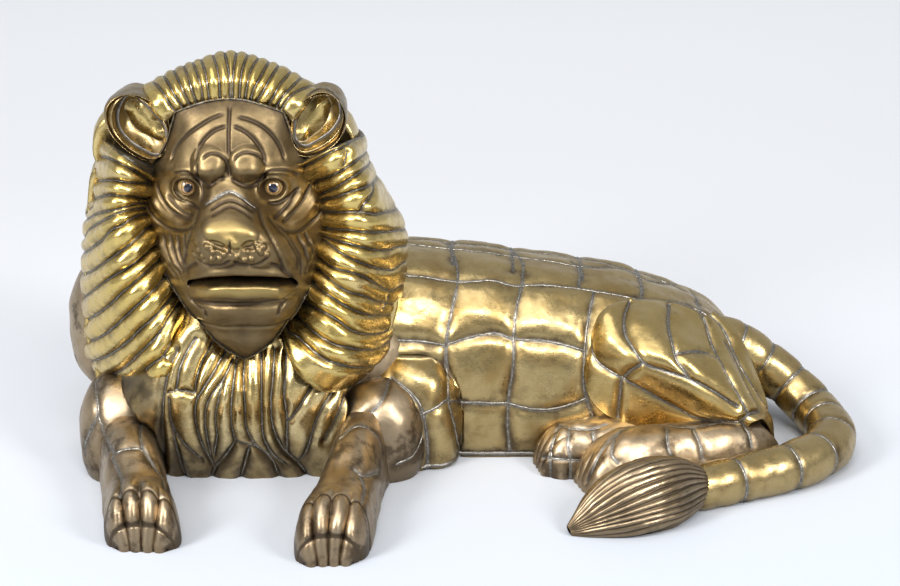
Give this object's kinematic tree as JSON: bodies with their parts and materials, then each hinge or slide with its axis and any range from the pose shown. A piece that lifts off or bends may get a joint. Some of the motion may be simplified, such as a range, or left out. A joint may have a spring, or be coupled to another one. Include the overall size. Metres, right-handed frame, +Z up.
{
  "type": "recumbent lion sculpture",
  "caption": "Life-size reclining lion in soldered brass panels, with a full mane of puffed locks, outstretched forelegs, curled tail and glass eyes.",
  "frame": {"origin": "middle of the bounding box at floor level", "axes": "+X along the body from the head end to the tail, -Y is where the face looks, +Z up"},
  "size_m": [1.674, 0.9772, 0.8927],
  "materials": {
    "aged_brass": "hammered sheet brass, polished and aged, olive-gold with darker brown patina and grey solder seams",
    "eye_glass": "glossy amber glass with a dark pupil"
  },
  "bodies": {
    "root": {"lion": "aged_brass", "eye_left": "eye_glass", "eye_right": "eye_glass"}
  },
  "joints": []
}
